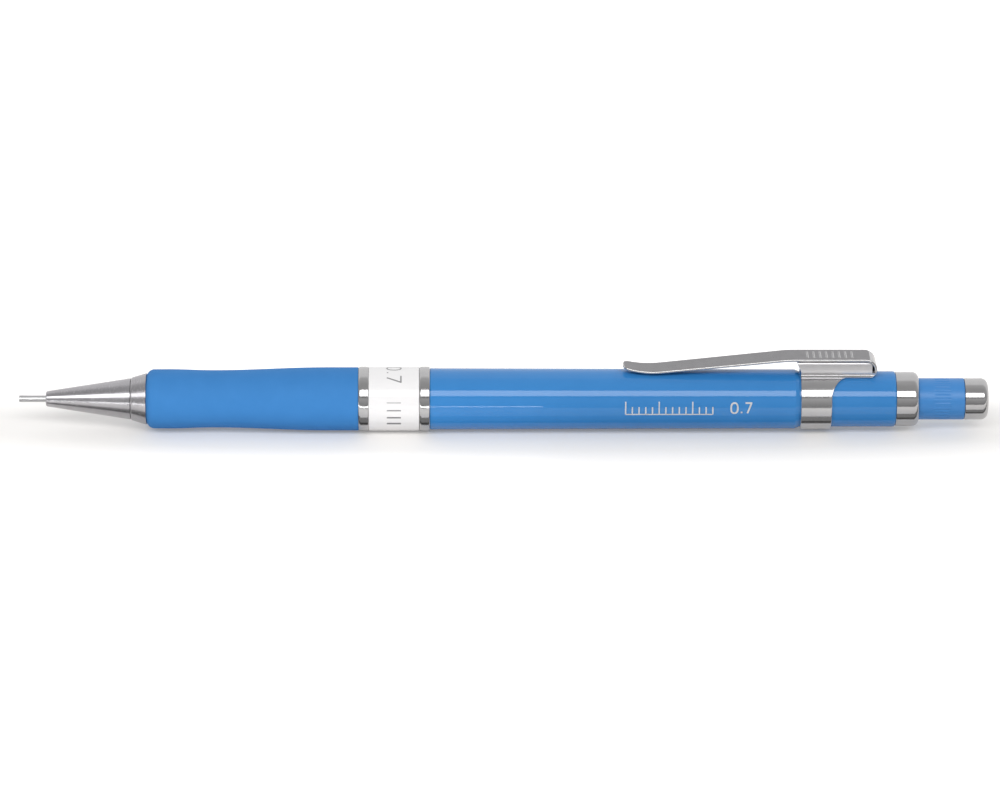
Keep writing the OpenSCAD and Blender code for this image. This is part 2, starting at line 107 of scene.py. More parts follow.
def outline_of(node):
    """The section of a turned CAD node: (x, radius) points in order, and whether it closes."""
    mesh = frame["nodes"][node].data
    points = []
    known = {}

    def index_of(co):
        found = (co.x, math.hypot(co.y, co.z - AXIS_Z))
        key = (round(found[0] / FINE), round(found[1] / FINE))
        if key not in known:
            near = [i for i, p in enumerate(points) if math.dist(p, found) < SNAP]
            known[key] = near[0] if near else len(points)
            if not near:
                points.append(found)
        return known[key]

    where = [index_of(v.co) for v in mesh.vertices]
    links = {i: set() for i in range(len(points))}
    for face in mesh.polygons:
        ends = {where[i] for i in face.vertices}
        if len(ends) == 2:
            a, b = ends
            links[a].add(b)
            links[b].add(a)
    starts = [i for i in links if len(links[i]) == 1]
    order = [starts[0] if starts else 0]
    while True:
        onward = [i for i in links[order[-1]] if i not in order]
        if not onward:
            break
        order.append(min(onward))
    section = [points[i] for i in order]
    if starts:
        section = [(section[0][0], 0.0)] + section + [(section[-1][0], 0.0)]
    return section, not starts


def softened(points, closed, edge):
    """Rounds the sharp corners of an outline to the edge radius and smooths its shallow ones."""
    count = len(points)
    corners = []
    for i, p in enumerate(points):
        here = Vector(p)
        if not closed and i in (0, count - 1):
            corners.append([here])
            continue
        before = Vector(points[i - 1]) - here
        after = Vector(points[(i + 1) % count]) - here
        turn = math.pi - before.angle(after)
        sharp = turn > SHARP
        reach = 0.45 * min(before.length, after.length)
        if sharp:
            reach = min(reach, edge * math.tan(turn / 2))
        steps = 5 if sharp else 3
        a = here + before.normalized() * reach
        b = here + after.normalized() * reach
        bend = []
        for k in range(steps + 1):
            t = k / steps
            bend.append(a * (1 - t) ** 2 + here * 2 * t * (1 - t) + b * t * t)
        corners.append(bend)
    result = []
    for i, bend in enumerate(corners):
        result += bend
        if closed or i < count - 1:
            ahead = corners[(i + 1) % count][0]
            step = ahead - bend[-1]
            if step.length > 6 * GUARD:
                result.append(bend[-1] + step.normalized() * GUARD)
                result.append(ahead - step.normalized() * GUARD)
    return [(p.x, max(p.y, 0.0)) for p in result]


def divided(points, closed, low, high, step):
    """Adds points to an outline's stretches between the stations low and high, a step apart."""
    result = []
    count = len(points)
    for i, p in enumerate(points):
        result.append(p)
        if not closed and i == count - 1:
            break
        q = points[(i + 1) % count]
        if min(p[0], q[0]) >= low - SNAP and max(p[0], q[0]) <= high + SNAP:
            pieces = max(1, round(abs(q[0] - p[0]) / step))
            for k in range(1, pieces):
                t = k / pieces
                result.append((p[0] + (q[0] - p[0]) * t, p[1] + (q[1] - p[1]) * t))
    return result


# ---- Meshes ----

def piece_of(name, places, faces, smooth=True):
    """An object from a closed mesh, with its normals outward."""
    mesh = bpy.data.meshes.new(name)
    mesh.from_pydata(places, [], faces)
    solid = bmesh.new()
    solid.from_mesh(mesh)
    if solid.calc_volume(signed=True) < 0:
        mesh.flip_normals()
    solid.free()
    if smooth:
        mesh.shade_smooth()
    piece = bpy.data.objects.new(name, mesh)
    bpy.context.scene.collection.objects.link(piece)
    return piece


def joined(first, second):
    """The faces between two rings of vertex numbers, one of which may be a single point."""
    count = max(len(first), len(second))
    faces = []
    for k in range(count):
        n = (k + 1) % count
        if len(first) == 1:
            faces.append((first[0], second[n], second[k]))
        elif len(second) == 1:
            faces.append((first[k], first[n], second[0]))
        else:
            faces.append((first[k], first[n], second[n], second[k]))
    return faces


def skinned(name, loops, smooth=True):
    """A closed tube over loops of places, its ends closed by a point at each end loop's middle."""
    loops = [[sum(loops[0], Vector()) / len(loops[0])]] + loops
    loops.append([sum(loops[-1], Vector()) / len(loops[-1])])
    places, rings, faces = [], [], []
    for loop in loops:
        rings.append(range(len(places), len(places) + len(loop)))
        places += loop
    for first, second in zip(rings, rings[1:]):
        faces += joined(first, second)
    return piece_of(name, places, faces, smooth)


def revolve(name, points, closed, sides, shape=None):
    """Turns an outline round the pencil's axis. shape(x, r, turn) may change a point's radius."""
    turns = [2 * math.pi * k / sides for k in range(sides)]
    waves = [(math.cos(turn), math.sin(turn)) for turn in turns]
    places, rings, faces = [], [], []
    for x, r in points:
        start = len(places)
        if r < SNAP:
            places.append((x, 0, AXIS_Z))
        else:
            for turn, (c, s) in zip(turns, waves):
                out = shape(x, r, turn) if shape else r
                places.append((x, out * c, AXIS_Z + out * s))
        rings.append(range(start, len(places)))
    pairs = list(zip(rings, rings[1:]))
    if closed:
        pairs.append((rings[-1], rings[0]))
    for first, second in pairs:
        faces += joined(first, second)
    return piece_of(name, places, faces)


def sheet_section(half_width, half_sheet, edge, columns):
    """(across, out) points round a strip's section, and how many of them are on its outer face."""
    flat = half_width - edge
    outer = [-flat + 2 * flat * k / columns for k in range(columns + 1)]
    outer.insert(1, -flat + min(GUARD, flat / columns))
    outer.insert(-1, flat - min(GUARD, flat / columns))
    side = half_sheet - edge
    steps = 4

    def corner(across, out, start):
        points = []
        for k in range(1, steps):
            a = start - k * math.pi / 2 / steps
            points.append((across + edge * math.cos(a), out + edge * math.sin(a)))
        return points

    loop = [(a, half_sheet) for a in outer]
    loop += corner(flat, side, math.pi / 2) + [(half_width, side), (half_width, -side)]
    loop += corner(flat, -side, 0) + [(a, -half_sheet) for a in reversed(outer)]
    loop += corner(-flat, -side, -math.pi / 2) + [(-half_width, -side), (-half_width, side)]
    loop += corner(-flat, side, math.pi)
    return loop, len(outer)


def strip(name, stations, columns, edge, dent=None):
    """Sweeps a rounded sheet section along stations of (centre, across, out, half width).
    dent(point) gives how deep the outer face is pressed in there."""
    first, last = stations[0], stations[-1]
    inward = [(stations[1][0] - first[0]).normalized(), (stations[-2][0] - last[0]).normalized()]
    quarter = [math.pi / 2 * k / 4 for k in range(4)]
    swept = []
    for a in quarter:
        moved = first[0] + inward[0] * edge * (1 - math.cos(a))
        swept.append((moved, *first[1:], edge * (1 - math.sin(a))))
    swept += [(*station, 0.0) for station in stations[1:-1]]
    for a in reversed(quarter):
        moved = last[0] + inward[1] * edge * (1 - math.cos(a))
        swept.append((moved, *last[1:], edge * (1 - math.sin(a))))
    loops = []
    for centre, across, out, half_width, inset in swept:
        rounding = max(edge - inset, 0.1 * edge)
        section, faced = sheet_section(half_width - inset, SHEET / 2 - inset, rounding, columns)
        loop = []
        for i, (a, o) in enumerate(section):
            point = centre + across * a + out * o
            if dent and i < faced:
                point -= out * dent(point)
            loop.append(point)
        loops.append(loop)
    return skinned(name, loops)


def stands_for(piece, node, material):
    """The piece is seen in place of a CAD node, which is hidden, and takes the given material."""
    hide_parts(node)
    piece.data.materials.append(material)
    return piece


def turned(node, material, edge=0.06 * MM, sides=LARGE, points=None, shape=None, fine=None):
    """A finely turned piece in place of a turned CAD node, from the node's own section."""
    section, closed = points or outline_of(node)
    section = softened(section, closed, edge)
    if fine:
        section = divided(section, closed, *fine)
    piece = revolve(node + "_turned", section, closed, sides, shape)
    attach(piece, BODY_OF[node])
    return stands_for(piece, node, material)


# ---- Materials ----

class Nodes:
    """Short names for the shader nodes of one material."""

    def __init__(self, name):
        self.material = bpy.data.materials.new(name)
        self.material.use_nodes = True
        self.tree = self.material.node_tree
        self.shader = self.tree.nodes["Principled BSDF"]
        self.place = self.tree.nodes.new("ShaderNodeTexCoord").outputs["Object"]

    def add(self, kind, **inputs):
        node = self.tree.nodes.new("ShaderNode" + kind)
        for key, value in inputs.items():
            self.put(node.inputs[key.replace("_", " ")], value)
        return node

    def put(self, socket, value):
        if isinstance(value, bpy.types.NodeSocket):
            self.tree.links.new(value, socket)
        else:
            socket.default_value = value

    def set(self, **inputs):
        for key, value in inputs.items():
            self.put(self.shader.inputs[key.replace("_", " ")], value)

    def stretched(self, scale):
        """Object coordinates, scaled differently along the three axes."""
        mapping = self.add("Mapping", Vector=self.place)
        mapping.inputs["Scale"].default_value = scale
        return mapping.outputs["Vector"]

    def noise(self, size, detail=4.0, place=None):
        """Noise whose features are about this size, from 0 to 1."""
        found = self.add("TexNoise", Vector=place or self.place, Scale=1 / size, Detail=detail)
        return found.outputs["Fac"]

    def ranged(self, value, low, high, start=0.3, end=0.7):
        node = self.add("MapRange", Value=value, From_Min=start, From_Max=end)
        node.inputs["To Min"].default_value = low
        node.inputs["To Max"].default_value = high
        return node.outputs["Result"]

    def mixed(self, share, first, second):
        node = self.tree.nodes.new("ShaderNodeMix")
        node.data_type = "RGBA"
        self.put(node.inputs[0], share)
        self.put(node.inputs[6], (*first, 1))
        self.put(node.inputs[7], (*second, 1))
        return node.outputs[2]

    def math(self, operation, *values):
        node = self.add("Math")
        node.operation = operation
        for socket, value in zip(node.inputs, values):
            self.put(socket, value)
        return node.outputs[0]

    def sum(self, first, second):
        return self.math("ADD", first, second)

    def product(self, first, second):
        return self.math("MULTIPLY", first, second)

    def bump(self, height, distance, strength=1.0, normal=None):
        node = self.add("Bump", Height=height, Distance=distance, Strength=strength)
        if normal:
            self.put(node.inputs["Normal"], normal)
        return node.outputs["Normal"]


def plastic(name, tone, shade, gloss, grain=0.25 * MM, relief=0.6e-6, rough_spread=0.03):
    """Moulded plastic: a slightly uneven tone, a faint ripple and fine scuffs along the piece."""
    n = Nodes(name)
    cloud = n.ranged(n.noise(3 * MM), 0, 1)
    scuff = n.noise(0.12 * MM, place=n.stretched((0.08, 1, 1)))
    n.set(Base_Color=n.mixed(cloud, tone, shade), IOR=1.5)
    n.set(Roughness=n.ranged(scuff, gloss, gloss + rough_spread))
    ripple = n.bump(n.noise(grain, 2.0), relief)
    n.set(Normal=ripple)
    return n.material


def rubber(name, tone, shade, rough, grain, relief):
    """Moulded rubber: a fine skin of pits over a soft ripple."""
    n = Nodes(name)
    cloud = n.ranged(n.noise(2.5 * MM), 0, 1)
    skin = n.noise(grain, 3.0)
    n.set(Base_Color=n.mixed(cloud, tone, shade), IOR=1.45)
    n.set(Roughness=n.ranged(skin, rough - 0.05, rough + 0.08))
    ripple = n.bump(n.noise(0.8 * MM, 2.0), 2e-6)
    n.set(Normal=n.bump(skin, relief, normal=ripple), Specular_IOR_Level=0.3)
    return n.material


def metal(name, tone, shade, rough, spread, line=None, relief=0.25e-6):
    """Plated or bare metal. line is the stretch of its tool or brush marks along x, y and z."""
    n = Nodes(name)
    cloud = n.ranged(n.noise(1.5 * MM), 0, 1)
    marks = n.noise(0.05 * MM, 3.0, place=n.stretched(line or (1, 1, 1)))
    n.set(Base_Color=n.mixed(cloud, tone, shade), Metallic=1.0)
    n.set(Roughness=n.ranged(marks, rough, rough + spread))
    n.set(Normal=n.bump(marks, relief))
    return n.material


ROUND_MARKS = (1, 0.06, 0.06)     # marks that run round the axis
LONG_MARKS = (0.05, 1, 1)         # marks that run along the axis

sleeve_steel = metal("sleeve_steel", (0.62, 0.62, 0.63), (0.56, 0.56, 0.57), 0.16, 0.08, LONG_MARKS)
nickel = metal("satin_nickel", (0.49, 0.48, 0.50), (0.445, 0.435, 0.455), 0.2, 0.08, ROUND_MARKS)
chrome = metal("trim_chrome", (0.56, 0.555, 0.56), (0.53, 0.525, 0.53), 0.09, 0.06, ROUND_MARKS)
clip_side = metal("clip_bright", (0.60, 0.595, 0.60), (0.57, 0.565, 0.57), 0.11, 0.06)
# the bracket's walls and roof: satin, and a lighter copy of the band's steel, which is painted light
clip_wall = metal("clip_satin_painted_light", (0.80, 0.79, 0.80), (0.76, 0.75, 0.76), 0.34, 0.08, LONG_MARKS)
# darker tones for the arm's upward faces, which are also brushed and rougher
ARM_TOP_TONES = (0.28, 0.275, 0.285), (0.25, 0.245, 0.255)
clip_top = metal("clip_brushed", *ARM_TOP_TONES, 0.26, 0.12, LONG_MARKS, 0.6e-6)
spring_steel = metal("spring_steel", (0.42, 0.42, 0.44), (0.36, 0.36, 0.38), 0.25, 0.1)
brass = metal("turned_brass", (0.72, 0.50, 0.20), (0.62, 0.42, 0.16), 0.22, 0.12, ROUND_MARKS)
grip_rubber = rubber("grip_rubber", (0.046, 0.228, 0.57), (0.042, 0.218, 0.55), 0.7, 0.09 * MM, 3e-6)
seal_rubber = rubber("seal_rubber", (0.02, 0.02, 0.02), (0.03, 0.03, 0.03), 0.6, 0.1 * MM, 3e-6)
eraser_vinyl = rubber("eraser_vinyl", (0.84, 0.83, 0.80), (0.78, 0.77, 0.74), 0.6, 0.15 * MM, 5e-6)
barrel_blue = plastic("barrel_blue", (0.041, 0.236, 0.585), (0.037, 0.226, 0.57), 0.07)
knob_blue = plastic("knob_blue", (0.052, 0.245, 0.605), (0.047, 0.235, 0.59), 0.36, relief=1.2e-6)
band_white = plastic("band_white", (0.90, 0.89, 0.895), (0.88, 0.87, 0.875), 0.1)
tank_plastic = plastic("tank_plastic", (0.66, 0.68, 0.68), (0.60, 0.62, 0.62), 0.35)
graphite = metal("graphite", (0.055, 0.055, 0.06), (0.03, 0.03, 0.033), 0.4, 0.15, LONG_MARKS, 1e-6)
foil = metal("silver_foil", (0.92, 0.92, 0.92), (0.74, 0.74, 0.75), 0.35, 0.2, relief=5e-6)
grey_ink = plastic("grey_ink", (0.22, 0.22, 0.225), (0.30, 0.30, 0.305), 0.35)


# ---- Tip ----

THREAD_PITCH = 0.5 * MM
THREAD_DEPTH = 0.16 * MM
THREAD_STEP = 0.04 * MM      # length of the mesh faces along the thread
SPIGOT_SHOW = 0.5 * MM       # from the ferrule's front to the threaded stretch
SPIGOT_OUT = 2.5 * MM        # the thread lies outside this radius


def threaded_cone():
    """The tip cone, with a true helix in place of the CAD model's thread rings."""
    section, closed = outline_of("tip_cone")
    spigot_x = BOX["front_ferrule"][0].x + SPIGOT_SHOW
    end_x = BOX["tip_cone"][1].x
    root = min(r for x, r in section if x > end_x - 0.2 * MM and r > SPIGOT_OUT)
    crest = root + THREAD_DEPTH
    plain = [
        p for p in section
        if not (spigot_x < p[0] < end_x - 0.1 * MM and root - SNAP < p[1] < crest + SNAP)
    ]
    low, high = spigot_x + 0.2 * MM, end_x - 0.7 * MM

    def thread(x, r, turn):
        if abs(r - root) > SNAP or not low < x < high:
            return r
        wave = abs(((x - low) / THREAD_PITCH - turn / (2 * math.pi)) % 1 - 0.5)
        fade = min(1, (x - low) / THREAD_PITCH, (high - x) / THREAD_PITCH)
        return r + THREAD_DEPTH * fade * max(0, min(1, 1.3 - 2.6 * wave))

    fine = (spigot_x - 0.3 * MM, end_x, THREAD_STEP)
    turned("tip_cone", nickel, 0.05 * MM, points=(plain, closed), shape=thread, fine=fine)


turned("lead_sleeve", sleeve_steel, 0.04 * MM, SMALL)
threaded_cone()
turned("lead_retainer", seal_rubber, 0.05 * MM, SMALL)
turned("front_ferrule", nickel, 0.07 * MM)

# ---- Grip, rings, band and barrel ----

turned("rubber_grip", grip_rubber, 0.2 * MM)
turned("front_trim_ring", chrome, 0.35 * MM)
turned("rear_trim_ring", chrome, 0.35 * MM)
turned("size_band", band_white, 0.06 * MM)
turned("barrel", barrel_blue, 0.1 * MM)
turned("end_ferrule", chrome, 0.08 * MM)

# ---- Knob, eraser and cap ----

FLUTES = 32
FLUTE_DEPTH = 0.06 * MM
FLUTE_START = 2.15 * MM      # from the end ferrule to the flutes
FLUTE_LENGTH = 2.65 * MM
FLUTE_FADE = 0.35 * MM       # the flutes rise out over this length at both ends
FLUTE_STEP = 0.05 * MM       # length of the mesh faces along the flutes
KNOB_NECK = 2.8 * MM         # radius that the cap fits over
KNOB_HOLE = 1.6 * MM         # radius of the way from the tank to the eraser
LOOSE = 0.05 * MM            # gap round the eraser and behind the cap


def knob():
    """The push knob, with soft flutes sunk into a short stretch of it."""
    low, high = BOX["push_knob"]
    cap_x = BOX["eraser_cap"][0].x - LOOSE
    ferrule_x = BOX["end_ferrule"][1].x
    out = radius("push_knob")
    tank_x = BOX["lead_tank"][1].x
    tank = radius("lead_tank")
    pocket_x = BOX["eraser"][0].x - LOOSE
    pocket = radius("eraser") + LOOSE
    section = [
        (low.x, tank), (low.x, out), (cap_x, out), (cap_x, KNOB_NECK), (high.x, KNOB_NECK),
        (high.x, pocket), (pocket_x, pocket), (pocket_x, KNOB_HOLE), (tank_x, KNOB_HOLE),
        (tank_x, tank),
    ]
    start = ferrule_x + FLUTE_START
    end = start + FLUTE_LENGTH

    def flutes(x, r, turn):
        if abs(r - out) > SNAP or not start < x < end:
            return r
        fade = min(1, (x - start) / FLUTE_FADE, (end - x) / FLUTE_FADE)
        groove = max(0, math.cos(FLUTES * turn)) ** 2
        return r - FLUTE_DEPTH * fade * groove

    section = softened(section, True, 0.12 * MM)
    section = divided(section, True, ferrule_x - 3 * MM, cap_x, FLUTE_STEP)
    piece = revolve("push_knob_turned", section, True, 12 * FLUTES, flutes)
    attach(piece, BODY_OF["push_knob"])
    stands_for(piece, "push_knob", knob_blue)


knob()
turned("eraser", eraser_vinyl, 0.3 * MM, SMALL)
turned("eraser_cap", chrome, 0.12 * MM)
turned("lead_tank", tank_plastic, 0.1 * MM, SMALL)

# ---- Chuck, seat and leads ----

RING_EASE = 0.03 * MM        # extra bore, so that the turned ring clears the opened jaws


def eased_ring():
    """The chuck ring's section with its bore a little wider."""
    section, closed = outline_of("chuck_ring")
    bore = (min(r for _, r in section) + max(r for _, r in section)) / 2
    return [(x, r + RING_EASE if r < bore else r) for x, r in section], closed


turned("ring_seat", brass, 0.05 * MM, SMALL)
turned("chuck_ring", brass, 0.06 * MM, SMALL, points=eased_ring())
turned("chuck_collar", brass, 0.05 * MM, SMALL)
turned("lead", graphite, 0.03 * MM, SMALL)


def kept(node, material, edge):
    """A CAD node that stays, with its edges broken and a material of its own."""
    piece = frame["nodes"][node]
    piece.data.materials.clear()
    piece.data.materials.append(material)
    weld = piece.modifiers.new("weld", "WELD")
    weld.merge_threshold = 1e-7
    bevel = piece.modifiers.new("edges", "BEVEL")
    bevel.width = edge
    bevel.segments = 2
    bevel.limit_method = "ANGLE"
    bevel.angle_limit = math.radians(35)


for number in (1, 2, 3):
    kept(f"chuck_jaw_{number}", brass, 0.03 * MM)
kept("spare_leads", graphite, 0.02 * MM)

# ---- Return spring ----

SPRING_TURNS = 8
RINGS_A_TURN = 40
WIRE = 0.2 * MM              # half the wire's thickness
WIRE_SIDES = 12
CLOSED_ENDS = 0.075          # how much closer the turns lie at both ends


def spring():
    """A wound spring whose turns lie closer at both ends."""
    low, high = BOX["return_spring"]
    coil = radius("return_spring") - WIRE
    rings = SPRING_TURNS * RINGS_A_TURN
    loops = []
    for i in range(rings + 1):
        share = i / rings
        turn = 2 * math.pi * SPRING_TURNS * share
        length = high.x - low.x - 2 * WIRE
        x = low.x + WIRE + length * (share - CLOSED_ENDS * math.sin(2 * math.pi * share))
        out = Vector((0, math.cos(turn), math.sin(turn)))
        centre = Vector((x, 0, AXIS_Z)) + out * coil
        loop = []
        for k in range(WIRE_SIDES):
            a = 2 * math.pi * k / WIRE_SIDES
            loop.append(centre + out * WIRE * math.cos(a) + ALONG * WIRE * math.sin(a))
        loops.append(loop)
    piece = skinned("return_spring_wound", loops)
    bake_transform(piece)
    stands_for(piece, "return_spring", spring_steel)


spring()

# ---- Clip ----

EDGE = 0.1 * MM              # rounding of the bracket's sheared edges
ARM_EDGE = 0.2 * MM          # the arm's edges are almost fully rounded
BEND_BACK = 1.8 * MM         # outer radius of the bend at the arm's rear end
BEND_FOOT = 0.9 * MM         # and of the bend below it
FOOT_LENGTH = 3.2 * MM
FOOT_HALF = 1.28 * MM
FOOT_NECK = 5.0 * MM         # the arm is narrow below this height over the axis
LIP_LENGTH = 4.3 * MM        # from the arm's front tip to where it comes nearest the barrel
LIP_GAP = 0.1 * MM           # between the arm and the barrel there
LIP_RADIUS = 14.5 * MM
KNEE_AHEAD = 1.2 * MM        # from the knee to the bracket's front
KNEE_RADIUS = 16 * MM
TIP_HALF = 1.9 * MM          # half the arm's width behind its front tip
TIP_TAPER = 0.25 * MM
TIP_CORNER = 1.3 * MM
GROOVES = 8
GROOVE_START = 1.7 * MM      # from the bracket's front
GROOVE_PITCH = 0.95 * MM
GROOVE_WIDTH = 0.32 * MM
GROOVE_HALF = 1.35 * MM
GROOVE_DEPTH = 0.11 * MM
GROOVE_FADE = 0.2 * MM       # the grooves run out over this width at both ends
BRUSHED_FACE = 0.94          # faces whose normal rises more than this are brushed and darker


def arm_path():
    """(x, z, outward x, outward z) along the middle of the arm's sheet, from tip to foot."""
    low, high = BOX["clip_arm"]
    half = SHEET / 2
    touch_x = low.x + LIP_LENGTH
    touch_z = AXIS_Z + radius("barrel") + LIP_GAP
    knee_x = BOX["clip_bracket"][0].x - KNEE_AHEAD
    slope = math.atan2(high.z - SHEET - touch_z, knee_x - touch_x)
    path = []

    def bend(cx, cz, r, start, end, steps, side):
        for k in range(steps + 1):
            a = start + (end - start) * k / steps
            c, s = math.cos(a), math.sin(a)
            path.append((cx + r * c, cz + r * s, side * c, side * s))

    def run(x, z, step):
        from_x, from_z, nx, nz = path[-1]
        count = max(1, round(math.hypot(x - from_x, z - from_z) / step))
        for k in range(1, count):
            t = k / count
            path.append((from_x + (x - from_x) * t, from_z + (z - from_z) * t, nx, nz))

    down = -math.pi / 2
    lip_angle = math.asin(LIP_LENGTH / LIP_RADIUS)
    bend(touch_x, touch_z + LIP_RADIUS, LIP_RADIUS - half, down - lip_angle, down + slope, 40, -1)
    knee_cx = knee_x + KNEE_RADIUS * math.tan(slope / 2)
    knee_cz = high.z - SHEET - KNEE_RADIUS
    knee_r = KNEE_RADIUS + half
    start = math.pi / 2 + slope
    run(knee_cx + knee_r * math.cos(start), knee_cz + knee_r * math.sin(start), 0.6 * MM)
    bend(knee_cx, knee_cz, knee_r, start, math.pi / 2, 14, 1)
    run(high.x - BEND_BACK, high.z - half, 0.05 * MM)
    bend(high.x - BEND_BACK, high.z - BEND_BACK, BEND_BACK - half, math.pi / 2, 0, 16, 1)
    run(high.x - half, low.z + BEND_FOOT, 0.02 * MM)
    bend(high.x - BEND_FOOT, low.z + BEND_FOOT, BEND_FOOT - half, 0, -math.pi / 2, 12, 1)
    run(high.x - FOOT_LENGTH, low.z + half, 0.4 * MM)
    path.append((high.x - FOOT_LENGTH, low.z + half, 0, -1))
    return path


def arm_half_width(x, z):
    """Half the arm's width, by where along the arm it is."""
    low, high = BOX["clip_arm"]
    full = (high.y - low.y) / 2
    knee_x = BOX["clip_bracket"][0].x - KNEE_AHEAD
    if x > knee_x:
        return FOOT_HALF if z < AXIS_Z + FOOT_NECK else full
    touch_x = low.x + LIP_LENGTH
    if x > touch_x:
        return TIP_HALF + (full - TIP_HALF) * (x - touch_x) / (knee_x - touch_x)
    corner_x = low.x + TIP_CORNER
    shoulder = TIP_HALF - TIP_TAPER
    if x > corner_x:
        return shoulder + TIP_TAPER * (x - corner_x) / (touch_x - corner_x)
    inside = max(0.0, TIP_CORNER ** 2 - (corner_x - x) ** 2)
    return shoulder - TIP_CORNER + math.sqrt(inside)


def arm_grooves(point):
    """Depth of the plain cross grooves pressed into the arm's flat top."""
    start = BOX["clip_bracket"][0].x + GROOVE_START
    along = (point.x - start) / GROOVE_PITCH
    nearest = round(along)
    if point.z < BOX["clip_arm"][1].z - 0.01 * MM or not 0 <= nearest < GROOVES:
        return 0.0
    away = abs(along - nearest) * GROOVE_PITCH / (GROOVE_WIDTH / 2)
    side = (GROOVE_HALF - abs(point.y)) / GROOVE_FADE
    return GROOVE_DEPTH * max(0.0, 1 - away * away) * max(0.0, min(1.0, side))


def arm():
    stations = []
    for x, z, nx, nz in arm_path():
        half = arm_half_width(x, z)
        stations.append((Vector((x, 0, z)), ACROSS, Vector((nx, 0, nz)), half))
    piece = strip("clip_arm_pressed", stations, 30, ARM_EDGE, arm_grooves)
    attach(piece, BODY_OF["clip_arm"])
    stands_for(piece, "clip_arm", clip_top)
    piece.data.materials.append(clip_side)
    for face in piece.data.polygons:
        face.material_index = 0 if face.normal.z > BRUSHED_FACE else 1


BAND_GAP = 2.2 * MM          # between the band's two ends, under the pencil
BAND_CORNER = 1.3 * MM
BAND_STEPS = 120             # stretches of mesh along one half of the band
BAND_START = 0.7 * MM        # from the bracket's front to the band
BAND_WIDTH = 4.6 * MM
WALL_HALF = 1.75 * MM
WALL_BOTTOM = 4.05 * MM      # this and the next two are heights over the pencil's axis
WALL_SLANT = 5.0 * MM
TONGUE_TOP = 4.85 * MM
TONGUE_CORNER = 0.9 * MM
WALL_BACK = 0.65 * MM        # from the tongue's end to the wall's end
WALL_NECK = 0.25 * MM        # how far the walls are drawn in where they meet the band
WALL_BULGE = 5.0 * MM        # the height from which they stand out most
BULGE_HEIGHT = 0.7 * MM      # how far up from there
WALL_LEAN = 0.05 * MM        # how far they lean in at the roof
WEB_RADIUS = 2.4 * MM
SATIN_PAINTED_LIGHT_FROM = 4.6 * MM        # above this height the sheet is satin and painted lighter


def bracket_span(y, z, from_end):
    """Front and back of the bracket's sheet at one place of its section, whose height is z."""
    low, high = BOX["clip_bracket"]
    arm_high = BOX["clip_arm"][1]
    top = high.z - AXIS_Z
    front = low.x + BAND_START
    back = front + BAND_WIDTH
    if from_end < BAND_CORNER:
        cut = BAND_CORNER - math.sqrt(max(0.0, BAND_CORNER ** 2 - (BAND_CORNER - from_end) ** 2))
        return front + cut, back - cut
    if z > WALL_SLANT:
        front -= BAND_START * (z - WALL_SLANT) / (top - WALL_SLANT)
    web_z = WALL_BOTTOM - WEB_RADIUS
    if web_z < z < WALL_BOTTOM and abs(y) < radius("clip_bracket"):
        back += WEB_RADIUS - math.sqrt(max(0.0, WEB_RADIUS ** 2 - (z - web_z) ** 2))
    elif z >= WALL_BOTTOM and z < TONGUE_TOP:
        inside = TONGUE_CORNER ** 2 - max(0.0, WALL_BOTTOM + TONGUE_CORNER - z) ** 2
        back = high.x - TONGUE_CORNER + math.sqrt(inside)
    elif z >= TONGUE_TOP:
        bend_x = arm_high.x - BEND_BACK
        bend_z = arm_high.z - AXIS_Z - BEND_BACK
        reach = top - bend_z
        rounded = bend_x + math.sqrt(max(0.0, reach ** 2 - max(0.0, z - bend_z) ** 2))
        back = min(high.x - WALL_BACK, rounded)
    return front, back


def rounded_off(points, times):
    """Cuts the corners of an open line of (y, z) points, again and again."""
    for _ in range(times):
        cut = [points[0]]
        for p, q in zip(points, points[1:]):
            cut += [p * 0.75 + q * 0.25, p * 0.25 + q * 0.75]
        points = cut + [points[-1]]
    return points


def bracket_section():
    """The middle of the bracket's sheet, (y, z) over the axis, from one end of its band over the
    two walls and the roof to the other end. The walls bulge and are drawn in at their foot."""
    top = BOX["clip_bracket"][1].z - AXIS_Z - SHEET / 2
    ring = radius("clip_bracket") - SHEET / 2
    first = math.asin(BAND_GAP / 2 / ring) - math.pi / 2
    last = math.acos(WALL_HALF / ring)
    band = []
    for k in range(BAND_STEPS + 1):
        a = first + (last - first) * k / BAND_STEPS
        band.append(Vector((ring * math.cos(a), ring * math.sin(a))))
    wall = WALL_HALF - SHEET / 2
    side = [
        band[-1], Vector((wall - WALL_NECK, ring + 0.02 * MM)), Vector((wall, WALL_BULGE)),
        Vector((wall, WALL_BULGE + BULGE_HEIGHT)), Vector((wall - WALL_LEAN, top)), Vector((0, top)),
    ]
    half = band[:-1] + rounded_off(side, 5)
    return half + [Vector((-p.x, p.y)) for p in reversed(half[:-1])]


def bracket():
    section = bracket_section()
    along = [0.0]
    for p, q in zip(section, section[1:]):
        along.append(along[-1] + (q - p).length)
    stations = []
    for i, p in enumerate(section):
        ahead = section[min(i + 1, len(section) - 1)] - section[max(i - 1, 0)]
        out = Vector((0, ahead.y, -ahead.x)).normalized()
        front, back = bracket_span(p.x, p.y, min(along[i], along[-1] - along[i]))
        centre = Vector(((front + back) / 2, p.x, AXIS_Z + p.y))
        stations.append((centre, ALONG, out, (back - front) / 2))
    piece = strip("clip_bracket_pressed", stations, 24, EDGE)
    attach(piece, BODY_OF["clip_bracket"])
    stands_for(piece, "clip_bracket", clip_side)
    piece.data.materials.append(clip_wall)
    # faces above that height take the satin steel, painted lighter than the band
    for face in piece.data.polygons:
        face.material_index = 1 if face.center.z > AXIS_Z + SATIN_PAINTED_LIGHT_FROM else 0


arm()
bracket()


# ---- Printed marks ----

INK = 0.012 * MM             # how far a mark stands out of the surface
MARK_STEP = 0.12 * MM        # the longest stretch of a mark's mesh
OVAL_POWER = 0.8             # below 1 makes an oval squarer


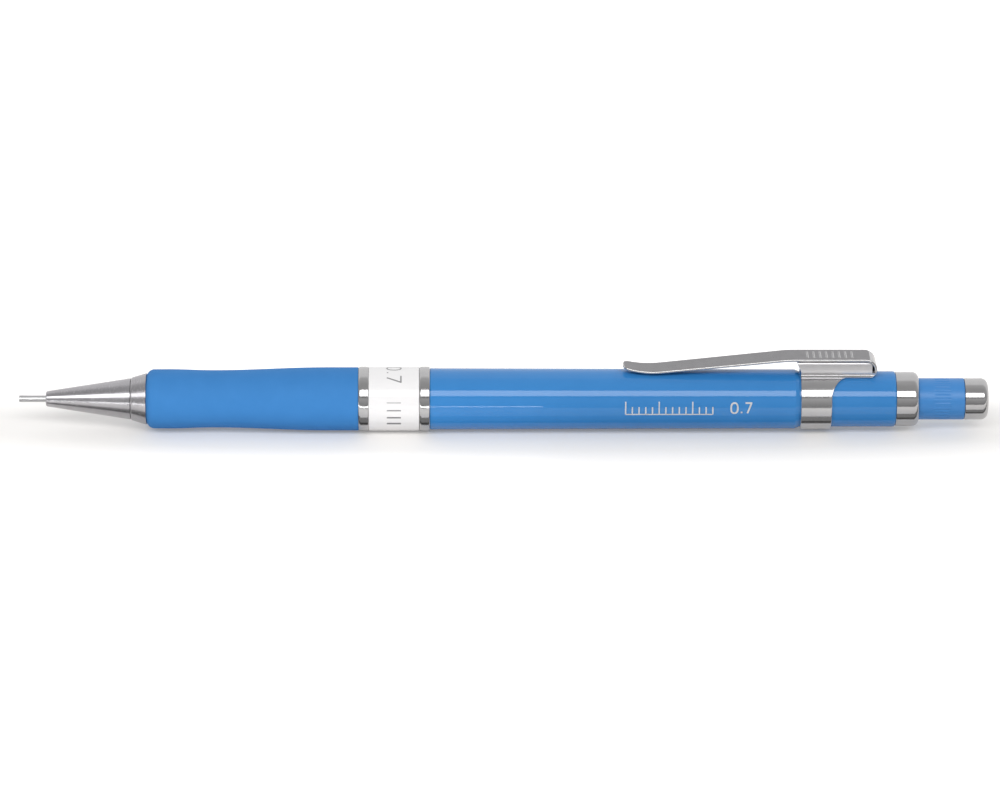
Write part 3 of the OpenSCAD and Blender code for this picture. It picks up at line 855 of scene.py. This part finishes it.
def oval(width, height, steps=28):
    """A closed upright oval as a stroke, of the shape of a nought."""
    points = []
    for k in range(steps + 1):
        a = 2 * math.pi * k / steps
        c, s = math.cos(a), math.sin(a)
        across = math.copysign(abs(c) ** OVAL_POWER, c)
        up = math.copysign(abs(s) ** OVAL_POWER, s)
        points.append((width / 2 * across, height / 2 * up))
    return points


def finely(points):
    """A stroke's points, with more put between them where they are far apart."""
    result = [points[0]]
    for (u0, v0), (u1, v1) in zip(points, points[1:]):
        pieces = math.ceil(math.hypot(u1 - u0, v1 - v0) / MARK_STEP)
        for k in range(1, pieces + 1):
            t = k / pieces
            result.append((u0 + (u1 - u0) * t, v0 + (v1 - v0) * t))
    return result


def marks(name, strokes, surface, slot, material):
    """Thin raised strokes on the pencil's body. A stroke is its (u, v) points and its width, and
    surface(u, v) gives a place on the body and the way out of it."""
    places, faces = [], []
    for points, width in strokes:
        points = finely(points)
        ringed = math.dist(points[0], points[-1]) < SNAP
        rings = []
        for i, (u, v) in enumerate(points):
            before = Vector(points[max(i - 1, 0)])
            after = Vector(points[min(i + 1, len(points) - 1)])
            if ringed and i in (0, len(points) - 1):
                before, after = Vector(points[-2]), Vector(points[1])
            aside = (after - before).orthogonal().normalized() * width / 2
            rings.append(range(len(places), len(places) + 4))
            for side, lift in ((1, INK), (-1, INK), (-1, -INK), (1, -INK)):
                place, out = surface(u + side * aside.x, v + side * aside.y)
                places.append(place + out * lift)
        for first, second in zip(rings, rings[1:]):
            faces += joined(first, second)
        faces += [tuple(reversed(rings[0])), tuple(rings[-1])]
    piece = piece_of(name, places, faces, smooth=False)
    piece.data.materials.append(material)
    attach(piece, "body")


def figures(height, stroke):
    """The strokes of the lead's width, nought point seven, centred on 0, 0."""
    width = 0.62 * height
    gap = 0.36 * height
    seven_u = 0.5 * width + gap
    return [
        ([(u - seven_u, v) for u, v in oval(width, height)], stroke),
        ([(-stroke / 2, -height / 2 + stroke / 2), (stroke / 2, -height / 2 + stroke / 2)], stroke),
        ([(seven_u - width / 2, height / 2), (seven_u + width / 2, height / 2)], stroke),
        ([(seven_u + width / 2 - stroke / 2, height / 2 - stroke / 3),
          (seven_u - width / 5, -height / 2)], stroke),
    ]


RULE_TURN = math.radians(4)         # where the foil marks' middle is, up from the side
RULE_X = 18.1 * MM                  # the rule's first line
RULE_STEP = 1.0 * MM
RULE_LINES = 14
RULE_HEIGHT = 2.0 * MM
FIGURE_X = 35.4 * MM
FIGURE_HEIGHT = 1.6 * MM
BAND_FIGURE_HEIGHT = 2.1 * MM
BAND_FIGURE_TURN = math.radians(77)
SAMPLES_TURN = math.radians(15)     # where the first line sample is, up from the side
SAMPLES = 4
SAMPLE_STEP = 1.2 * MM


def barrel_radius(x):
    """The barrel's outer radius at a station, from its CAD section."""
    for (x0, r0), (x1, r1) in zip(BARREL_SKIN, BARREL_SKIN[1:]):
        if x0 <= x <= x1:
            return r0 + (r1 - r0) * (x - x0) / (x1 - x0)
    return radius("barrel")


BARREL_SKIN = sorted(
    p for p in outline_of("barrel")[0] if radius("barrel") - 0.2 * MM < p[1] and p[0] > TIP_X / 6
)


def on_barrel(centre_x):
    """u runs along the pencil and v up round it, from the foil marks' middle."""
    def place(u, v):
        skin = barrel_radius(centre_x + u)
        a = RULE_TURN + v / skin
        out = Vector((0, -math.cos(a), math.sin(a)))
        return Vector((centre_x + u, 0, AXIS_Z)) + out * skin, out
    return place


def on_band(turn):
    """u runs down round the white band and v along it, so that figures stand across it."""
    def place(u, v):
        skin = radius("size_band")
        a = turn - u / skin
        out = Vector((0, -math.cos(a), math.sin(a)))
        return Vector((middle("size_band").x + v, 0, AXIS_Z)) + out * skin, out
    return place


def printed():
    foot = -RULE_HEIGHT / 2
    rule = [([(0, foot), ((RULE_LINES - 1) * RULE_STEP, foot)], 0.18 * MM)]
    for k in range(RULE_LINES):
        share = 1.0 if k % 5 == 0 else 0.6
        rule.append(([(k * RULE_STEP, foot), (k * RULE_STEP, foot + share * RULE_HEIGHT)], 0.2 * MM))
    marks("foil_rule", rule, on_barrel(RULE_X), "trim_chrome", foil)
    figure = figures(FIGURE_HEIGHT, 0.26 * MM)
    marks("foil_figures", figure, on_barrel(FIGURE_X), "trim_chrome", foil)
    figure = figures(BAND_FIGURE_HEIGHT, 0.2 * MM)
    marks("band_figures", figure, on_band(BAND_FIGURE_TURN), "band_white", grey_ink)
    half = BAND_FIGURE_HEIGHT / 2
    samples = []
    for k in range(SAMPLES):
        down = k * SAMPLE_STEP
        samples.append(([(down, -half), (down, half)], (0.1 + 0.08 * k) * MM))
    marks("band_line_samples", samples, on_band(SAMPLES_TURN), "band_white", grey_ink)


printed()


# ---- Studio ----

FLOOR_RADIUS = 6.0
FLOOR_SIDES = 96
FLOOR_GLOW_PAINTED_SHADOW = (0.20, 0.60)           # near the pencil, lower there as a painted shadow, and far from it
GLOW_START, GLOW_END = 8.5 * MM, 24 * MM
GLOW_SHAPE = (0.11, 1, 0)           # the glow and its painted shadow are laid out longer along the pencil
MIRRORED_GLOW = 0.45                # share of it that shows in reflections
CARD_HALF = 0.3                     # half the length of both cards
CARD_AWAY = 27 * MM
CARD_LOW, CARD_HIGH = math.radians(10), math.radians(24)
CARD_GLOW = (0.26, 0.55)            # glow of the dim card's painted reflection at its lower and upper edge
SHADE_FRONT, SHADE_BACK = -8.0 * MM, -4.2 * MM
# the middle of the painted shadow line, which shows only in reflections
SHADE_LINE = -4.9 * MM
SHADE_LIFT = 0.05 * MM              # height of the narrow card over the floor
SHADE_GLOW = (0.03, 0.27)           # in the painted shadow line and beside it
LINE_START, LINE_END = 0.1 * MM, 0.55 * MM      # the line's soft edge, from its middle


def floor():
    """A big plain pale disc that glows by itself, less near the pencil: a painted shadow round it.
    """
    rim = []
    for k in range(FLOOR_SIDES):
        a = 2 * math.pi * k / FLOOR_SIDES
        rim.append((FLOOR_RADIUS * math.cos(a), FLOOR_RADIUS * math.sin(a), cad_box[0].z))
    mesh = bpy.data.meshes.new("studio_floor")
    mesh.from_pydata(rim, [], [range(FLOOR_SIDES)])
    piece = bpy.data.objects.new("studio_floor", mesh)
    bpy.context.scene.collection.objects.link(piece)
    n = Nodes("floor_white_painted_shadow")
    n.set(Base_Color=(0.79, 0.775, 0.758, 1), Roughness=0.9, Specular_IOR_Level=0.1)
    away = n.add("VectorMath", Vector=n.stretched(GLOW_SHAPE))
    away.operation = "LENGTH"
    # the glow is lower near the pencil: a painted shadow round it
    glow = n.ranged(away.outputs["Value"], *FLOOR_GLOW_PAINTED_SHADOW, start=GLOW_START, end=GLOW_END)
    ray = n.add("LightPath").outputs
    seen = n.sum(n.product(ray["Is Glossy Ray"], MIRRORED_GLOW), ray["Is Camera Ray"])
    n.set(Emission_Color=(1, 1, 1, 1), Emission_Strength=n.product(glow, seen))
    piece.data.materials.append(n.material)


def reflected(name, corners, glow):
    """A card that shines by itself and only shows as a reflection in the shiny pieces."""
    mesh = bpy.data.meshes.new(name)
    mesh.from_pydata(corners, [], [(0, 1, 2, 3)])
    piece = bpy.data.objects.new(name, mesh)
    bpy.context.scene.collection.objects.link(piece)
    n = Nodes(name + "_painted_reflection")
    n.set(Base_Color=(0, 0, 0, 1), Specular_IOR_Level=0.0, Emission_Color=(1, 1, 1, 1))
    # the card's glow is what the shiny pieces show as a painted reflection
    n.set(Emission_Strength=glow(n, n.add("SeparateXYZ", Vector=n.place).outputs))
    piece.data.materials.append(n.material)
    for kind in ("camera", "diffuse", "shadow", "transmission", "volume_scatter"):
        setattr(piece, "visible_" + kind, False)


def dim_card():
    """A long card in front, seen only as a dim painted reflection in the shiny pieces."""
    low, high = AXIS_Z - CARD_AWAY * math.tan(CARD_LOW), AXIS_Z + CARD_AWAY * math.tan(CARD_HIGH)
    span = ((-CARD_HALF, low), (CARD_HALF, low), (CARD_HALF, high), (-CARD_HALF, high))
    ends = [(x, -CARD_AWAY, z) for x, z in span]
    reflected("dim_card", ends, lambda n, at: n.ranged(at["Z"], *CARD_GLOW, start=low, end=high))


def shade_card():
    """A narrow card on the floor in front, its dark line a painted shadow seen only in reflections.
    """
    z = cad_box[0].z + SHADE_LIFT
    half, front, back = CARD_HALF, SHADE_FRONT, SHADE_BACK
    ends = [(-half, front, z), (half, front, z), (half, back, z), (-half, back, z)]

    def glow(n, at):
        apart = n.math("ABSOLUTE", n.math("SUBTRACT", at["Y"], SHADE_LINE))
        return n.ranged(apart, *SHADE_GLOW, start=LINE_START, end=LINE_END)

    reflected("shade_card", ends, glow)


def panel(name, elevation, distance, height, length, radiance, centre_x=0.0):
    """A rectangle of light along the pencil and facing it, on the camera's side."""
    light = bpy.data.lights.new(name, "AREA")
    light.shape = "RECTANGLE"
    light.size = length
    light.size_y = height
    light.energy = radiance * math.pi * height * length
    lamp = bpy.data.objects.new(name, light)
    bpy.context.scene.collection.objects.link(lamp)
    e = math.radians(elevation)
    away = Vector((0, -math.cos(e), math.sin(e)))
    lamp.location = Vector((centre_x, 0, AXIS_Z)) + away * distance
    lamp.rotation_mode = "QUATERNION"
    lamp.rotation_quaternion = away.to_track_quat("Z", "Y")
    lamp.visible_camera = False


# Brightness of the surroundings by how far back a direction points, -1 to 1.
SURROUNDINGS = ((-1.0, 0.22), (-0.3, 0.44), (0.15, 0.55), (0.38, 0.86), (1.0, 0.92))


def surroundings():
    """A room that is dim in front and bright behind, and plain white to the camera."""
    world = bpy.data.worlds.new("studio")
    bpy.context.scene.world = world
    world.use_nodes = True
    tree = world.node_tree
    background = tree.nodes["Background"]
    split = tree.nodes.new("ShaderNodeSeparateXYZ")
    shift = tree.nodes.new("ShaderNodeMapRange")
    shift.inputs["From Min"].default_value = -1
    ramp = tree.nodes.new("ShaderNodeValToRGB")
    ramp.color_ramp.interpolation = "EASE"
    for _ in SURROUNDINGS[2:]:
        ramp.color_ramp.elements.new(0.5)
    for element, (back, level) in zip(ramp.color_ramp.elements, SURROUNDINGS):
        element.position = (back + 1) / 2
        element.color = (level, level, level, 1)
    seen = tree.nodes.new("ShaderNodeLightPath")
    choice = tree.nodes.new("ShaderNodeMix")
    choice.data_type = "RGBA"
    choice.inputs[7].default_value = (1, 1, 1, 1)
    place = tree.nodes.new("ShaderNodeTexCoord")
    tree.links.new(place.outputs["Generated"], split.inputs[0])
    tree.links.new(split.outputs["Y"], shift.inputs["Value"])
    tree.links.new(shift.outputs["Result"], ramp.inputs["Fac"])
    tree.links.new(seen.outputs["Is Camera Ray"], choice.inputs[0])
    tree.links.new(ramp.outputs["Color"], choice.inputs[6])
    tree.links.new(choice.outputs[2], background.inputs["Color"])


def studio():
    floor()
    surroundings()
    dim_card()
    shade_card()
    panel("key_strip", 42.8, 0.60, 0.22, 1.0, 4.0)
    panel("low_strip", -4, 0.018, 0.0007, 0.10, 7.0, centre_x=-0.044)


VIEW_TILT = math.radians(22.5)      # height of the camera over the floor
CAMERA_DISTANCE = 0.8
FRAME_WIDTH = 149.8 * MM
AIM = Vector((-0.58 * MM, 0, AXIS_Z - 0.2 * MM))
SIDESTEP = -10.4 * MM        # the camera stands a little towards the tip


def camera():
    data = bpy.data.cameras.new("camera")
    data.sensor_width = 36.0
    data.lens = data.sensor_width * CAMERA_DISTANCE / FRAME_WIDTH
    data.clip_start = 0.01
    data.clip_end = 50.0
    view = bpy.data.objects.new("camera", data)
    bpy.context.scene.collection.objects.link(view)
    back = Vector((0, -math.cos(VIEW_TILT), math.sin(VIEW_TILT)))
    view.location = AIM + back * CAMERA_DISTANCE + ALONG * SIDESTEP
    back = (view.location - AIM).normalized()
    right = (ALONG - back * ALONG.dot(back)).normalized()
    view.rotation_mode = "QUATERNION"
    view.rotation_quaternion = Matrix((right, back.cross(right), back)).transposed().to_quaternion()
    bpy.context.scene.camera = view


studio()
camera()
bpy.context.scene.view_settings.view_transform = "Standard"
